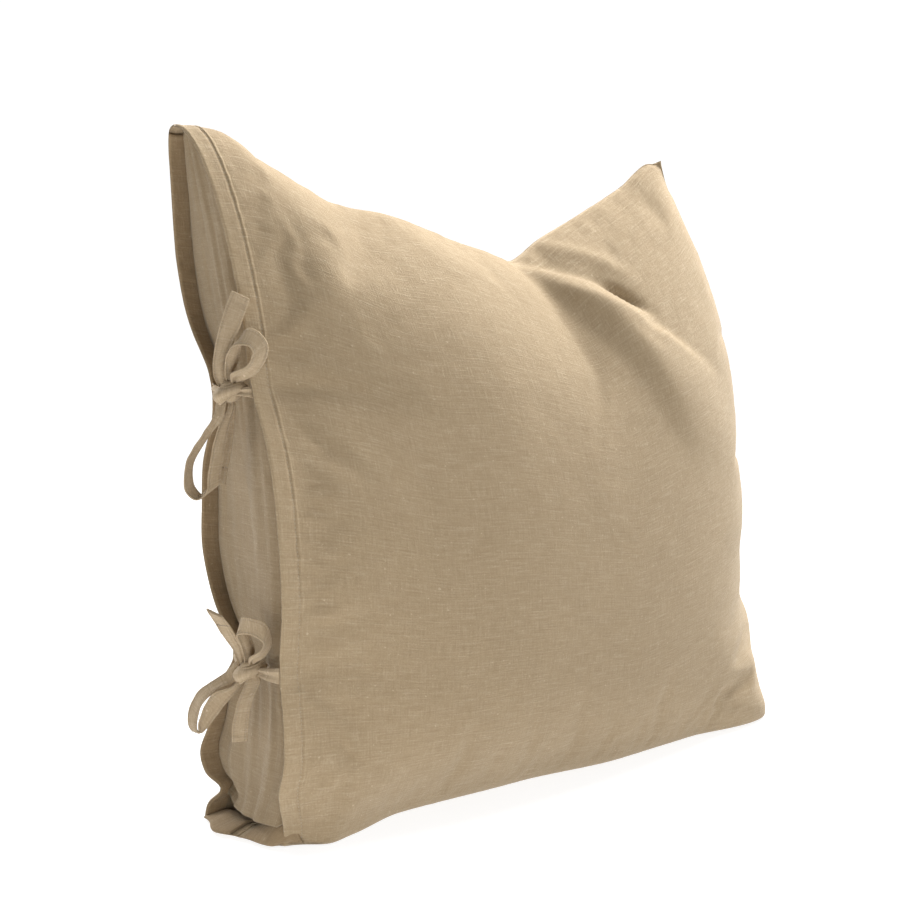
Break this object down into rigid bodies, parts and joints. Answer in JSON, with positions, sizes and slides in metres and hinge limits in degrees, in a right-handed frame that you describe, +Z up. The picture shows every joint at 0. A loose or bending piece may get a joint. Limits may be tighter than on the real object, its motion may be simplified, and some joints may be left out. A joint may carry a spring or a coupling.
{
  "type": "floor cushion",
  "caption": "Square linen floor cushion standing on its edge, with a flanged side opening closed by tie bows over a tuck-in flap and a soft insert inside.",
  "frame": {"origin": "on the floor under the middle of the cushion's box, with the cushion standing on its bottom edge", "axes": "+Z up, +X towards the closed side away from the tied opening, -Y towards the front face"},
  "size_m": [0.6834, 0.2063, 0.612],
  "materials": {
    "linen": "matte natural linen, plain weave with slubs",
    "linen_tie": "matte natural linen, folded and edge-stitched",
    "thread": "matte spun sewing thread",
    "cotton": "matte white cotton cambric",
    "filling": "loose feather filling"
  },
  "bodies": {
    "cushion": {"cover_front": "linen", "cover_back": "linen", "tuck_flap": "linen", "front_hem": "linen", "back_hem": "linen", "front_hem_stitching": "thread", "back_hem_stitching": "thread", "top_seam_thread": "thread", "side_seam_thread": "thread", "bottom_seam_thread": "thread", "upper_front_tie": "linen_tie", "upper_back_tie": "linen_tie", "lower_front_tie": "linen_tie", "lower_back_tie": "linen_tie", "insert_front": "cotton", "insert_back": "cotton", "insert_seam_thread": "thread", "filling": "filling"},
    "upper_front_tie_loop": {"upper_front_tie_loop": "linen_tie"},
    "upper_front_tie_tail": {"upper_front_tie_tail": "linen_tie"},
    "upper_back_tie_loop": {"upper_back_tie_loop": "linen_tie"},
    "upper_back_tie_tail": {"upper_back_tie_tail": "linen_tie"},
    "lower_front_tie_loop": {"lower_front_tie_loop": "linen_tie"},
    "lower_front_tie_tail": {"lower_front_tie_tail": "linen_tie"},
    "lower_back_tie_loop": {"lower_back_tie_loop": "linen_tie"},
    "lower_back_tie_tail": {"lower_back_tie_tail": "linen_tie"}
  },
  "joints": [
    {"name": "upper_front_tie_loop_swing", "type": "hinge", "parent": "cushion", "child": "upper_front_tie_loop", "pos_m": [-0.30341, -0.0152, 0.397], "axis": [0.7986, -0.6018, 0], "range_deg": [0, 20], "stiffness_Nm_per_rad": 0.004},
    {"name": "upper_front_tie_tail_swing", "type": "hinge", "parent": "cushion", "child": "upper_front_tie_tail", "pos_m": [-0.30178, -0.0014, 0.37], "axis": [-0.6018, -0.7986, 0], "range_deg": [0, 15], "stiffness_Nm_per_rad": 0.004},
    {"name": "upper_back_tie_loop_swing", "type": "hinge", "parent": "cushion", "child": "upper_back_tie_loop", "pos_m": [-0.3082, -0.00909, 0.37], "axis": [-0.7986, 0.6018, 0], "range_deg": [0, 40]},
    {"name": "upper_back_tie_tail_swing", "type": "hinge", "parent": "cushion", "child": "upper_back_tie_tail", "pos_m": [-0.31019, -0.00758, 0.399], "axis": [0.7986, -0.6018, 0], "range_deg": [0, 15], "stiffness_Nm_per_rad": 0.004},
    {"name": "lower_front_tie_loop_swing", "type": "hinge", "parent": "cushion", "child": "lower_front_tie_loop", "pos_m": [-0.29612, -0.0323, 0.163], "axis": [0.7986, -0.6018, 0], "range_deg": [0, 20], "stiffness_Nm_per_rad": 0.004},
    {"name": "lower_front_tie_tail_swing", "type": "hinge", "parent": "cushion", "child": "lower_front_tie_tail", "pos_m": [-0.29842, -0.03119, 0.136], "axis": [-0.7986, 0.6018, 0], "range_deg": [0, 40]},
    {"name": "lower_back_tie_loop_swing", "type": "hinge", "parent": "cushion", "child": "lower_back_tie_loop", "pos_m": [-0.30398, -0.01198, 0.1395], "axis": [-0.7986, 0.6018, 0], "range_deg": [0, 40]},
    {"name": "lower_back_tie_tail_swing", "type": "hinge", "parent": "cushion", "child": "lower_back_tie_tail", "pos_m": [-0.30078, -0.01438, 0.164], "axis": [-0.7986, 0.6018, 0], "range_deg": [0, 20], "stiffness_Nm_per_rad": 0.004}
  ]
}
